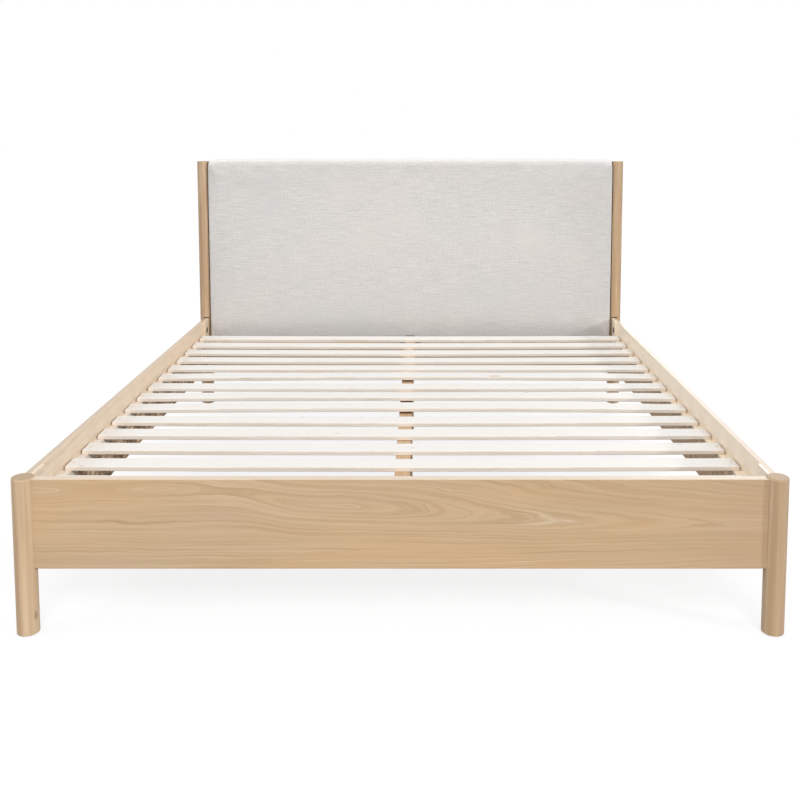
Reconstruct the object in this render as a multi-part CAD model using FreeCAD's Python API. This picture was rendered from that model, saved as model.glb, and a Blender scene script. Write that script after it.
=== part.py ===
import FreeCAD, Part
import math
import os

# A king-size platform bed. Two round legs carry the footboard, two round posts carry an
# upholstered headboard panel, and bolted side rails join them. Slats lie on ledges along the
# rails and on a centre beam, which stands on three legs with screw levellers.
#
# Millimetres. X is across the bed, with the right side at +X as seen from the foot. Y runs from
# the foot at -Y to the head at +Y. Z is up. The origin is on the floor, in the middle of the bed.

# Mattress that the bed is made round
mattress_width = 1930.0
mattress_length = 2032.0
mattress_side_play = 10.0
mattress_end_play = 7.0

# Round legs and headboard posts
leg_diameter = 58.0
leg_proud = 3.0
leg_top_rounding = 3.5
leg_foot_rounding = 2.0
post_setback = 50.0
glide_diameter = 38.0
glide_thickness = 3.0

# Side rails and footboard
rail_bottom_height = 180.0
rail_height = 241.0
rail_thickness = 16.0
footboard_thickness = 25.0
board_arris = 2.0
cope_gap = 0.15

# Housings in the posts for the rail ends
housing_depth = 8.0
housing_side_gap = 1.0
housing_head_gap = 5.0
housing_foot_gap = 0.5

# Rail end blocks, with the pockets that the joint bolts are tightened in
block_thickness = 8.0
block_reach = 75.0
pocket_diameter = 30.0
pocket_depth = 17.0
pocket_setback = 36.0
joint_bolt_inset = 9.0
joint_bolt_height_shares = (0.25, 0.79)
joint_bolt_diameter = 8.0
joint_bolt_grip = 35.0
joint_bolt_tip = 4.0
joint_bolt_hole_play = 1.0
washer_thickness = 6.0
washer_width = 14.0
washer_play = 0.3
nut_width = 13.0
nut_height = 6.5

# Ledges and slats
ledge_drop = 76.0
ledge_width = 23.0
ledge_height = 20.0
slat_count = 14
slat_width = 72.0
slat_thickness = 13.0
slat_rounding = 2.0
slat_end_play = 5.0
slat_foot_gap = 102.0
slat_head_gap = 83.0
slat_sag = 3.0
slat_crown = 6.0
# How far each slat bows, foot to head: above zero of the crown, below zero of the sag
slat_bow_shares = (-0.9, -0.9, -1, -0.7, -1, 1, 0.7, -0.8, 1, 0, -0.9, -1, -1, -0.8)

# Wood screws, countersunk: length under the head, shank and head
screw_diameter = 4.0
screw_head_diameter = 8.0
screw_head_height = 2.2
screw_head_sink = 0.3
slat_screw_length = 25.0
slat_screw_inset = 12.0
ledge_screw_length = 33.0
ledge_screw_gap_count = 2
hanger_screw_length = 16.0

# Centre beam, its steel stirrups and its legs
beam_width = 44.0
beam_height = 70.0
stirrup_steel = 2.5
stirrup_depth = 45.0
stirrup_cheek_height = 50.0
stirrup_flange = 25.0
stirrup_play = 0.3
stirrup_headroom = 0.8
stirrup_screw_height_shares = (0.3, 0.75)
beam_pad_gap = 3.0
centre_leg_count = 3
centre_leg_width = 42.0
centre_leg_rounding = 3.0
stud_diameter = 8.0
stud_length = 70.0

# Screw levellers under the centre legs
leveller_travel = 12.0
leveller_stop_gap = 0.3
leveller_base_diameter = 30.0
leveller_base_top_diameter = 20.0
leveller_base_height = 8.0
leveller_base_rim = 4.0
leveller_stem_diameter = 8.0
leveller_stem_sink = 5.0
leveller_stem_spare = 5.0
leveller_bore_play = 0.05
insert_flange_diameter = 24.0
insert_flange_thickness = 2.0
insert_diameter = 12.0
insert_length = 16.0
stem_room_play = 0.5

# Headboard cross rail and the dowels
cross_rail_thickness = 25.0
dowel_diameter = 10.0
dowel_length = 60.0
footboard_dowel_height_shares = (0.12, 0.5, 0.88)
cross_rail_dowel_height_shares = (0.2, 0.8)

# Headboard pad: foam under cloth
pad_depth = 74.7
pad_edge_inset = 50.0
pad_rail_gap = 2.0
pad_height = 867.0
pad_proud = 17.0
pad_end_fall = 9.0
pad_end_fall_power = 12
pad_face_crown = 5.0
pad_top_roll = 38.0
pad_back_roll = 12.0
pad_bottom_roll = 12.0
pad_side_roll = 15.0
pad_corner_drop = 18.0
pad_corner_rise = 6.0
pad_roll_steps = 6
pad_face_steps = 12
soft_gap = 0.3

# Headboard frame inside the pad
frame_inset = 12.0
frame_depth = 40.0
stile_width = 45.0
face_board_thickness = 9.0
back_cloth_thickness = 1.0
back_cloth_lap = 6.0

# Bolts that hold the headboard frame to the posts
panel_bolt_height_shares = (0.16, 0.84)
panel_bolt_diameter = 8.0
panel_bolt_head_diameter = 13.0
panel_bolt_head_height = 8.0
panel_bolt_key = 6.0
panel_bolt_key_depth = 4.0
panel_bolt_bite = 18.0
counterbore_diameter = 17.0
counterbore_depth = 14.0
panel_insert_diameter = 12.0
panel_insert_length = 24.0

# Fits that several pieces share
fit = 0.05
hole_play = 0.3
cut_overrun = 5.0

# Heights
rail_bottom = rail_bottom_height
rail_top = rail_bottom + rail_height
leg_top = rail_top + leg_proud
ledge_top = rail_top - ledge_drop
ledge_bottom = ledge_top - ledge_height
slat_top = ledge_top + slat_thickness
beam_top = ledge_top - slat_sag
beam_bottom = beam_top - beam_height
stirrup_bottom = beam_bottom - stirrup_play - stirrup_steel
cross_rail_top = stirrup_bottom + stirrup_cheek_height + stirrup_headroom
cross_rail_height = cross_rail_top - rail_bottom
pad_bottom = cross_rail_top + pad_rail_gap
pad_top = pad_bottom + pad_height
post_top = pad_top - pad_proud

# Places across the bed
leg_radius = leg_diameter / 2
rail_inner = mattress_width / 2 + mattress_side_play
rail_outer = rail_inner + rail_thickness
leg_x = rail_inner + rail_thickness / 2
block_inner = rail_inner - block_thickness
bolt_x = block_inner + joint_bolt_inset
ledge_inner = rail_inner - ledge_width
slat_end = rail_inner - slat_end_play
pad_half_width = leg_x + leg_radius - pad_edge_inset
seat_x = pad_half_width + soft_gap

# Places along the bed
inner_length = mattress_length + 2 * mattress_end_play
leg_to_post = footboard_thickness / 2 + inner_length + post_setback
leg_y = -leg_to_post / 2
post_y = leg_to_post / 2
footboard_front = leg_y - footboard_thickness / 2
footboard_back = leg_y + footboard_thickness / 2
pad_front = footboard_back + inner_length
pad_back = pad_front + pad_depth
frame_back = pad_back + soft_gap
frame_front = frame_back - frame_depth
face_board_front = frame_front - face_board_thickness
leg_back = leg_y + leg_radius
post_front = post_y - leg_radius
housing_floor = post_front + housing_depth
cross_rail_front = post_y - cross_rail_thickness / 2
cross_rail_back = post_y + cross_rail_thickness / 2
block_foot_end = leg_back + block_reach
block_head_end = post_front - block_reach
slat_pitch = (inner_length - slat_foot_gap - slat_head_gap - slat_width) / (slat_count - 1)
slat_fronts = [footboard_back + slat_foot_gap + index * slat_pitch for index in range(slat_count)]

SIDES = (("left", -1), ("right", 1))
X = FreeCAD.Vector(1, 0, 0)
Y = FreeCAD.Vector(0, 1, 0)
Z = FreeCAD.Vector(0, 0, 1)


def at(x, y, z):
    return FreeCAD.Vector(x, y, z)


def block(x0, x1, y0, y1, z0, z1):
    """A box between two corners."""
    return Part.makeBox(x1 - x0, y1 - y0, z1 - z0, at(x0, y0, z0))


def rod(diameter, start, direction, length):
    """A round bar from a start point along a direction."""
    return Part.makeCylinder(diameter / 2, length, start, direction)


def hexagon(centre, width, right, up):
    """A six-sided face of a width across its flats, in the plane of two directions."""
    corner = width / 2 / math.cos(math.radians(30))
    turns = [math.radians(60 * step) for step in range(7)]
    rim = [centre + right * (corner * math.cos(turn)) + up * (corner * math.sin(turn)) for turn in turns]
    return Part.Face(Part.makePolygon(rim))


def save(node, *solids):
    """Write one node: a single solid, or a group of separate ones."""
    shape = solids[0] if len(solids) == 1 else Part.makeCompound(list(solids))
    shape.exportStep("parts/" + node + ".step")
    print(node, len(shape.Solids), "solid(s)", round(shape.Volume), "mm3")


def mirrored(shape, side):
    """The shape as built on the right, or its mirror image on the left."""
    return shape if side > 0 else shape.mirror(at(0, 0, 0), X)


def edges_along(shape, direction, keep):
    """Straight edges that run along a direction and whose middle passes the test."""
    found = []
    for edge in shape.Edges:
        ends = [vertex.Point for vertex in edge.Vertexes]
        if len(ends) == 2 and isinstance(edge.Curve, Part.Line):
            run = (ends[1] - ends[0]).normalize()
            if abs(run.dot(direction)) > math.cos(math.radians(1)) and keep(edge.CenterOfMass):
                found.append(edge)
    return found


def round_rims(shape, radius, height):
    """Round the circular edges of an upright round bar at one height."""
    level = [edge for edge in shape.Edges if edge.BoundBox.ZLength < fit]
    return shape.makeFillet(radius, [edge for edge in level if abs(edge.CenterOfMass.z - height) < fit])


def round_post(x, y, top):
    """A round upright that stands on its glide, with a soft top and a lightly eased foot."""
    bar = rod(leg_diameter, at(x, y, glide_thickness), Z, top - glide_thickness)
    bar = round_rims(bar, leg_top_rounding, top)
    return round_rims(bar, leg_foot_rounding, glide_thickness)


def countersunk(length, tip, direction):
    """A wood screw from the face of its head, along the way that it is driven."""
    head = Part.makeCone(screw_head_diameter / 2, screw_diameter / 2, screw_head_height, tip, direction)
    shank = rod(screw_diameter, tip, direction, length)
    return head.fuse(shank).removeSplitter()


def screw_hole(length, tip, direction):
    """The hole that a wood screw fills, opened by the fit and out through the face above it."""
    wide = screw_head_diameter / 2 + fit
    narrow = screw_diameter / 2 + fit
    mouth = rod(2 * wide, tip - direction * screw_head_sink * 2, direction, screw_head_sink * 2)
    cone = Part.makeCone(wide, narrow, screw_head_height, tip, direction)
    shank = rod(2 * narrow, tip, direction, length + fit)
    return mouth.fuse([cone, shank])


# Joint bolts of the rails: one row of heights serves the rails, blocks, legs, posts and bolts
joint_bolt_heights = [rail_bottom + share * rail_height for share in joint_bolt_height_shares]


def pocket(surface_y, towards_rail, height):
    """The round pocket in a rail end block, and the bolt's way to it from the upright."""
    centre_y = surface_y + towards_rail * pocket_setback
    mouth = at(block_inner - cut_overrun, centre_y, height)
    hole = rod(pocket_diameter, mouth, X, pocket_depth + cut_overrun)
    way_width = joint_bolt_diameter + joint_bolt_hole_play
    way = rod(way_width, at(bolt_x, centre_y, height), Y * -towards_rail, pocket_setback + leg_radius)
    return hole.fuse(way)


def joint_bolt_set(surface_y, towards_rail, height):
    """A hanger bolt out of the upright, its half-moon washer and its nut, in their pocket."""
    wall = surface_y + towards_rail * (pocket_setback - pocket_diameter / 2)
    seat = wall + towards_rail * (washer_play + washer_thickness)
    start = at(bolt_x, surface_y - towards_rail * joint_bolt_grip, height)
    reach = abs(seat - surface_y) + nut_height + joint_bolt_tip
    bolt = rod(joint_bolt_diameter, start, Y * towards_rail, joint_bolt_grip + reach)
    centre_y = surface_y + towards_rail * pocket_setback
    disc_start = at(bolt_x - washer_width / 2, centre_y, height)
    disc = rod(pocket_diameter - 2 * washer_play, disc_start, X, washer_width)
    low_y = min(wall, seat)
    keep = block(
        bolt_x - washer_width, bolt_x + washer_width, low_y, low_y + washer_thickness + washer_play,
        height - pocket_diameter, height + pocket_diameter)
    bolt_room = joint_bolt_diameter + 2 * fit
    bolt_way = rod(bolt_room, at(bolt_x, centre_y - pocket_diameter, height), Y, 2 * pocket_diameter)
    washer = disc.common(keep).cut(bolt_way)
    nut = hexagon(at(bolt_x, seat, height), nut_width, X, Z).extrude(Y * (towards_rail * nut_height))
    nut = nut.cut(bolt_way)
    return bolt, washer, nut


def hanger_hole(surface_y, towards_rail, height):
    """The hole in a leg or post that a hanger bolt is screwed into."""
    start = at(bolt_x, surface_y - towards_rail * (joint_bolt_grip + fit), height)
    return rod(joint_bolt_diameter + 2 * fit, start, Y * towards_rail, joint_bolt_grip + leg_radius)


# Dowels across each end of the footboard and of the headboard's cross rail
footboard_end = leg_x - leg_radius
footboard_dowels = [
    (footboard_end, leg_y, rail_bottom + share * rail_height) for share in footboard_dowel_height_shares]
cross_rail_dowels = [
    (seat_x, post_y, rail_bottom + share * cross_rail_height) for share in cross_rail_dowel_height_shares]


def dowel(place, play):
    """A dowel on the right side, half in the board and half in the upright."""
    x, y, z = place
    start = at(x - dowel_length / 2 - play, y, z)
    return rod(dowel_diameter + 2 * play, start, X, dowel_length + 2 * play)


def front_leg(side):
    leg = round_post(leg_x, leg_y, leg_top)
    for height in joint_bolt_heights:
        leg = leg.cut(hanger_hole(leg_back, 1, height))
    for place in footboard_dowels:
        leg = leg.cut(dowel(place, fit))
    return mirrored(leg, side)


def footboard():
    """The board between the front legs, with its ends hollowed to fit round them."""
    board = block(-leg_x, leg_x, footboard_front, footboard_back, rail_bottom, rail_top)
    board = board.makeFillet(board_arris, edges_along(board, X, lambda middle: True))
    for _, side in SIDES:
        hollow = rod(leg_diameter + 2 * cope_gap, at(leg_x, leg_y, 0), Z, leg_top)
        board = board.cut(mirrored(hollow, side))
        for place in footboard_dowels:
            board = board.cut(mirrored(dowel(place, fit), side))
    for screw in stirrup_screws(footboard_back, 1):
        board = board.cut(screw_hole(hanger_screw_length, screw, -Y))
    return board


def side_rail(side):
    """A long rail, hollowed at the foot to fit the leg and square in the post's housing."""
    rail = block(rail_inner, rail_outer, leg_y, housing_floor, rail_bottom, rail_top)
    rail = rail.makeFillet(board_arris, edges_along(rail, Y, lambda middle: True))
    rail = rail.cut(rod(leg_diameter + 2 * cope_gap, at(leg_x, leg_y, 0), Z, leg_top))
    for height in joint_bolt_heights:
        rail = rail.cut(pocket(leg_back, 1, height)).cut(pocket(post_front, -1, height))
    for place in ledge_screw_places:
        rail = rail.cut(screw_hole(ledge_screw_length, place, X))
    return mirrored(rail, side)


def rail_block(side, at_head):
    """The thin block glued inside a rail's end, with the pockets of its two bolts."""
    start, stop = (block_head_end, housing_floor) if at_head else (leg_y, block_foot_end)
    piece = block(block_inner, rail_inner, start, stop, rail_bottom, rail_top)
    free_edges = edges_along(piece, Y, lambda middle: middle.x < rail_inner - fit)
    piece = piece.makeFillet(board_arris, free_edges)
    if not at_head:
        piece = piece.cut(rod(leg_diameter + 2 * cope_gap, at(leg_x, leg_y, 0), Z, leg_top))
    for height in joint_bolt_heights:
        piece = piece.cut(pocket(post_front, -1, height) if at_head else pocket(leg_back, 1, height))
    return mirrored(piece, side)


# Ledge screws stand in the gaps between the slats, clear of the slat screws
gap_middles = [front + slat_width + (slat_pitch - slat_width) / 2 for front in slat_fronts[:-1]]
ledge_middle = ledge_bottom + ledge_height / 2
ledge_screw_places = [
    at(ledge_inner + screw_head_sink, y, ledge_middle) for y in gap_middles[::ledge_screw_gap_count]]
slat_middles = [front + slat_width / 2 for front in slat_fronts]
slat_screw_x = slat_end - slat_screw_inset
slat_screw_places = [at(slat_screw_x, y, slat_top - screw_head_sink) for y in slat_middles]


def slat_ledge(side):
    ledge = block(ledge_inner, rail_inner, block_foot_end, block_head_end, ledge_bottom, ledge_top)
    for place in ledge_screw_places:
        ledge = ledge.cut(screw_hole(ledge_screw_length, place, X))
    for place in slat_screw_places:
        ledge = ledge.cut(screw_hole(slat_screw_length, place, -Z))
    return mirrored(ledge, side)


def bow_edge(rise, span, end, height):
    """A slat's long edge, straight or an arc: at the span it lies at the height, and midway it rises."""
    if not rise:
        return Part.makeLine(at(-end, 0, height), at(end, 0, height))
    radius = (span * span + rise * rise) / (2 * abs(rise))
    fall = radius - math.sqrt(radius * radius - end * end)
    end_height = height + rise - math.copysign(fall, rise)
    return Part.Arc(at(-end, 0, end_height), at(0, 0, height + rise), at(end, 0, end_height)).toShape()


def slat(index):
    """One slat, bowed a little up or down, with eased long edges and a screw hole at each end."""
    share = slat_bow_shares[index % len(slat_bow_shares)]
    rise = share * (slat_crown if share > 0 else slat_sag)
    span = slat_end if share > 0 else ledge_inner
    low = bow_edge(rise, span, slat_end, ledge_top)
    high = bow_edge(rise, span, slat_end, slat_top)
    low_ends = [vertex.Point for vertex in low.Vertexes]
    high_ends = [vertex.Point for vertex in high.Vertexes]
    ends = [Part.makeLine(start, stop) for start, stop in zip(low_ends, high_ends)]
    outline = Part.Wire([low, ends[1], high, ends[0]])
    outline.translate(Y * slat_fronts[index])
    piece = Part.Face(outline).extrude(Y * slat_width)
    long_edges = [edge for edge in piece.Edges if edge.BoundBox.XLength > slat_end]
    piece = piece.makeFillet(slat_rounding, long_edges)
    for _, side in SIDES:
        piece = piece.cut(mirrored(screw_hole(slat_screw_length, slat_screw_places[index], -Z), side))
    return piece


# Centre beam between the two stirrups. The one at the head is deeper, as the beam ends before the pad
beam_start = footboard_back + stirrup_steel
beam_stop = pad_front - beam_pad_gap
stirrup_depth_head = stirrup_depth + cross_rail_front - stirrup_steel - beam_stop
cheek_inner = beam_width / 2 + stirrup_play
cheek_outer = cheek_inner + stirrup_steel
centre_leg_step = (beam_stop - beam_start) / (centre_leg_count + 1)
centre_leg_names = ("foot", "middle", "head")
centre_leg_ys = [beam_start + (index + 1) * centre_leg_step for index in range(centre_leg_count)]


def stirrup_screws(wall_y, towards_beam):
    """Where a stirrup's four screws start, on the face of its flanges."""
    face = wall_y + towards_beam * (stirrup_steel - screw_head_sink / 2)
    x = cheek_outer + stirrup_flange / 2
    heights = [stirrup_bottom + share * stirrup_cheek_height for share in stirrup_screw_height_shares]
    return [at(sign * x, face, z) for _, sign in SIDES for z in heights]


def stirrup(wall_y, towards_beam, depth):
    """A folded steel stirrup: flanges on the wall, two cheeks and a seat under the beam."""
    plate_y = min(wall_y, wall_y + towards_beam * stirrup_steel)
    fold_y = min(wall_y, wall_y + towards_beam * depth)
    stop = stirrup_bottom + stirrup_cheek_height
    wide = cheek_outer + stirrup_flange
    plate = block(-wide, wide, plate_y, plate_y + stirrup_steel, stirrup_bottom, stop)
    outer = block(-cheek_outer, cheek_outer, fold_y, fold_y + depth, stirrup_bottom, stop)
    room_y = fold_y + stirrup_steel * (towards_beam + 1) / 2 - cut_overrun * (1 - towards_beam) / 2
    room = block(
        -cheek_inner, cheek_inner, room_y, room_y + depth - stirrup_steel + cut_overrun,
        stirrup_bottom + stirrup_steel, stop + cut_overrun)
    steel = outer.cut(room).fuse(plate).removeSplitter()
    for screw in stirrup_screws(wall_y, towards_beam):
        steel = steel.cut(screw_hole(hanger_screw_length, screw, Y * -towards_beam))
    return steel


def stud(y, play):
    """The stud that ties a centre leg to the beam, half in each."""
    start = at(0, y, beam_bottom - stud_length / 2 - play)
    return rod(stud_diameter + 2 * play, start, Z, stud_length + 2 * play)


def centre_beam():
    beam = block(-beam_width / 2, beam_width / 2, beam_start, beam_stop, beam_bottom, beam_top)
    beam = beam.makeFillet(board_arris, edges_along(beam, Y, lambda middle: True))
    for y in centre_leg_ys:
        beam = beam.cut(stud(y, fit))
    return beam


# Levellers: the base stands on the floor and the stem runs up through the insert into the leg
insert_bottom = leveller_base_height + leveller_stop_gap
centre_leg_bottom = insert_bottom + insert_flange_thickness
stem_bottom = leveller_base_height - leveller_stem_sink
stem_top = centre_leg_bottom + insert_length + leveller_travel + leveller_stem_spare


def leveller_insert(y):
    flange = rod(insert_flange_diameter, at(0, y, insert_bottom), Z, insert_flange_thickness)
    barrel = rod(insert_diameter, at(0, y, centre_leg_bottom), Z, insert_length)
    bore_width = leveller_stem_diameter + 2 * leveller_bore_play
    bore = rod(bore_width, at(0, y, 0), Z, centre_leg_bottom + insert_length + cut_overrun)
    return flange.fuse(barrel).cut(bore).removeSplitter()


def leveller_stem(y):
    return rod(leveller_stem_diameter, at(0, y, stem_bottom), Z, stem_top - stem_bottom)


def leveller_base(y):
    """A moulded foot: a straight rim that turns into a cone, with the stem's socket on top."""
    rim = rod(leveller_base_diameter, at(0, y, 0), Z, leveller_base_rim)
    radii = (leveller_base_diameter / 2, leveller_base_top_diameter / 2)
    taper = leveller_base_height - leveller_base_rim
    cone = Part.makeCone(*radii, taper, at(0, y, leveller_base_rim), Z)
    socket = rod(leveller_stem_diameter + 2 * fit, at(0, y, stem_bottom), Z, leveller_base_height)
    return rim.fuse(cone).cut(socket).removeSplitter()


def centre_leg(y):
    """A square leg under the beam, bored for its stud above and its leveller below."""
    half = centre_leg_width / 2
    leg = block(-half, half, y - half, y + half, centre_leg_bottom, beam_bottom)
    leg = leg.makeFillet(centre_leg_rounding, edges_along(leg, Z, lambda middle: True))
    leg = leg.cut(stud(y, fit))
    leg = leg.cut(rod(insert_diameter + 2 * fit, at(0, y, 0), Z, centre_leg_bottom + insert_length))
    room = leveller_stem_diameter + 2 * stem_room_play
    return leg.cut(rod(room, at(0, y, 0), Z, stem_top + leveller_stem_spare))


# Headboard frame, pad and bolts
frame_half = pad_half_width - frame_inset
frame_low = pad_bottom + frame_inset
frame_high = pad_top - pad_end_fall - frame_inset
panel_bolt_y = (frame_front + frame_back) / 2
panel_bolt_heights = [pad_bottom + share * pad_height for share in panel_bolt_height_shares]
bolt_head_seat = leg_x + leg_radius - counterbore_depth
panel_bolt_end = frame_half - panel_bolt_bite


def pad_section(x):
    """The pad's outline across the bed at one place: rolled top, crowned face, eased bottom."""
    share = x / pad_half_width
    inset = pad_half_width - abs(x)
    side = max(0, 1 - inset / pad_side_roll)
    rounding = 1 - math.sqrt(1 - side * side)
    front = pad_front + pad_face_crown * share * share + pad_side_roll * rounding
    end_fall = pad_end_fall * abs(share) ** pad_end_fall_power
    top = pad_top - end_fall - pad_corner_drop * rounding
    bottom = pad_bottom + pad_corner_rise * rounding
    scale = (pad_back - front) / pad_depth
    top_roll = pad_top_roll * scale
    back_roll = pad_back_roll * scale
    low_roll = pad_bottom_roll * scale
    diagonal = math.sqrt(0.5)
    middle = (top + bottom) / 2

    def corner(y, z, roll, ways):
        """A quarter-round between two sides that meet at y, z; ways point to its centre."""
        centre = at(x, y + ways[0] * roll, z + ways[1] * roll)
        along_z = at(x, y, z + ways[1] * roll)
        along_y = at(x, y + ways[0] * roll, z)
        bulge = centre - at(0, ways[0] * roll * diagonal, ways[1] * roll * diagonal)
        return along_z, bulge, along_y

    back_top = corner(pad_back, top, back_roll, (-1, -1))
    front_top = corner(front + pad_face_crown, top, top_roll, (1, -1))
    front_low = corner(front + pad_face_crown, bottom, low_roll, (1, 1))
    back_low = corner(pad_back, bottom, back_roll, (-1, 1))
    face_middle = at(x, front, middle)
    return Part.Wire([
        Part.makeLine(back_low[0], back_top[0]),
        Part.Arc(*back_top).toShape(),
        Part.makeLine(back_top[2], front_top[2]),
        Part.Arc(*reversed(front_top)).toShape(),
        Part.Arc(front_top[0], face_middle, front_low[0]).toShape(),
        Part.Arc(*front_low).toShape(),
        Part.makeLine(front_low[2], back_low[2]),
        Part.Arc(*reversed(back_low)).toShape(),
    ])


def pad_stations():
    """Places of the pad's outlines: close together round each side, wider apart across the face."""
    turns = [math.radians(90 * step / pad_roll_steps) for step in range(pad_roll_steps + 1)]
    round_side = [pad_half_width - pad_side_roll * (1 - math.cos(turn)) for turn in turns]
    flat = pad_half_width - pad_side_roll
    face = [flat * math.cos(math.pi * step / pad_face_steps) for step in range(1, pad_face_steps)]
    return round_side + face + [-x for x in reversed(round_side)]


def headboard_pad():
    """Foam and cloth round the frame, open at the back, with holes for the panel bolts."""
    pad = Part.makeLoft([pad_section(x) for x in pad_stations()], True, True)
    hollow = block(
        -frame_half - soft_gap, frame_half + soft_gap, face_board_front - soft_gap, pad_back + cut_overrun,
        frame_low - soft_gap, frame_high + soft_gap)
    pad = pad.cut(hollow)
    for _, side in SIDES:
        for height in panel_bolt_heights:
            start = at(frame_half - cut_overrun, panel_bolt_y, height)
            hole = rod(panel_bolt_diameter + 2 * hole_play, start, X, frame_inset + 2 * cut_overrun)
            pad = pad.cut(mirrored(hole, side))
    return pad


def headboard_post(side):
    """A tall round post with a flat seat for the panel, and a housing for the rail's end."""
    post = round_post(leg_x, post_y, post_top)
    post = post.cut(block(0, seat_x, post_front, post_y + leg_radius, rail_bottom, post_top))
    housing_inner = block_inner - housing_side_gap
    housing_outer = rail_outer + housing_side_gap
    post = post.cut(block(
        housing_inner, housing_outer, post_front - cut_overrun, housing_floor,
        rail_bottom - housing_foot_gap, rail_top + housing_head_gap))
    for height in joint_bolt_heights:
        post = post.cut(hanger_hole(post_front, -1, height))
    for place in cross_rail_dowels:
        post = post.cut(dowel(place, fit))
    for height in panel_bolt_heights:
        way = panel_bolt_diameter + 2 * hole_play
        post = post.cut(rod(way, at(seat_x - cut_overrun, panel_bolt_y, height), X, leg_diameter))
        post = post.cut(rod(counterbore_diameter, at(bolt_head_seat, panel_bolt_y, height), X, leg_radius))
    return mirrored(post, side)


def cross_rail():
    """The rail between the posts, under the pad. It also carries the head end of the beam."""
    board = block(-seat_x, seat_x, cross_rail_front, cross_rail_back, rail_bottom, cross_rail_top)
    board = board.makeFillet(board_arris, edges_along(board, X, lambda middle: True))
    for _, side in SIDES:
        for place in cross_rail_dowels:
            board = board.cut(mirrored(dowel(place, fit), side))
    for screw in stirrup_screws(cross_rail_front, -1):
        board = board.cut(screw_hole(hanger_screw_length, screw, Y))
    return board


def panel_insert(height, play):
    """A threaded insert in the edge of a stile, or the hole that it fills."""
    start = at(frame_half - panel_insert_length - play, panel_bolt_y, height)
    return rod(panel_insert_diameter + 2 * play, start, X, panel_insert_length + play)


def stile(side):
    piece = block(frame_half - stile_width, frame_half, frame_front, frame_back, frame_low, frame_high)
    for height in panel_bolt_heights:
        piece = piece.cut(panel_insert(height, fit))
    return mirrored(piece, side)


def frame_batten(low):
    """A batten between the stiles."""
    inner = frame_half - stile_width
    return block(-inner, inner, frame_front, frame_back, low, low + stile_width)


def panel_bolt(height):
    """A socket-head bolt from the counterbore in the post into the insert in the stile."""
    tip = at(panel_bolt_end, panel_bolt_y, height)
    shank = rod(panel_bolt_diameter, tip, X, bolt_head_seat - panel_bolt_end)
    head = rod(panel_bolt_head_diameter, at(bolt_head_seat, panel_bolt_y, height), X, panel_bolt_head_height)
    key_floor = at(bolt_head_seat + panel_bolt_head_height - panel_bolt_key_depth, panel_bolt_y, height)
    key = hexagon(key_floor, panel_bolt_key, Y, Z).extrude(X * (panel_bolt_key_depth + cut_overrun))
    return head.fuse(shank).removeSplitter().cut(key)


def save_base():
    """Legs, footboard, rails, end blocks and everything that joins them."""
    bolts, washers, nuts, dowels, glides = [], [], [], [], []
    for name, side in SIDES:
        save("front_leg_" + name, front_leg(side))
        save("headboard_post_" + name, headboard_post(side))
        save("side_rail_" + name, side_rail(side))
        save("rail_block_foot_" + name, rail_block(side, False))
        save("rail_block_head_" + name, rail_block(side, True))
        save("slat_ledge_" + name, slat_ledge(side))
        for height in joint_bolt_heights:
            for surface_y, towards_rail in ((leg_back, 1), (post_front, -1)):
                bolt, washer, nut = joint_bolt_set(surface_y, towards_rail, height)
                bolts.append(mirrored(bolt, side))
                washers.append(mirrored(washer, side))
                nuts.append(mirrored(nut, side))
        dowels += [mirrored(dowel(place, 0), side) for place in footboard_dowels + cross_rail_dowels]
        glides += [rod(glide_diameter, at(side * leg_x, y, 0), Z, glide_thickness) for y in (leg_y, post_y)]
    save("footboard", footboard())
    save("joint_bolts", *bolts)
    save("joint_washers", *washers)
    save("joint_nuts", *nuts)
    save("joint_dowels", *dowels)
    save("leg_glides", *glides)


def save_slats():
    """Slats, and the screws of the slats and ledges."""
    for index in range(slat_count):
        save("slat_%02d" % (index + 1), slat(index))
    slat_screws = [countersunk(slat_screw_length, place, -Z) for place in slat_screw_places]
    ledge_screws = [countersunk(ledge_screw_length, place, X) for place in ledge_screw_places]
    save("slat_screws", *[mirrored(screw, side) for _, side in SIDES for screw in slat_screws])
    save("ledge_screws", *[mirrored(screw, side) for _, side in SIDES for screw in ledge_screws])


def save_centre():
    """Centre beam, stirrups, centre legs and levellers."""
    save("centre_beam", centre_beam())
    save("beam_stirrup_foot", stirrup(footboard_back, 1, stirrup_depth))
    save("beam_stirrup_head", stirrup(cross_rail_front, -1, stirrup_depth_head))
    screws = [countersunk(hanger_screw_length, place, -Y) for place in stirrup_screws(footboard_back, 1)]
    screws += [countersunk(hanger_screw_length, place, Y) for place in stirrup_screws(cross_rail_front, -1)]
    save("stirrup_screws", *screws)
    for name, y in zip(centre_leg_names, centre_leg_ys):
        save("centre_leg_" + name, centre_leg(y))
        save("leveller_stem_" + name, leveller_stem(y))
        save("leveller_base_" + name, leveller_base(y))
    save("centre_leg_studs", *[stud(y, 0) for y in centre_leg_ys])
    save("leveller_inserts", *[leveller_insert(y) for y in centre_leg_ys])


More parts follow.
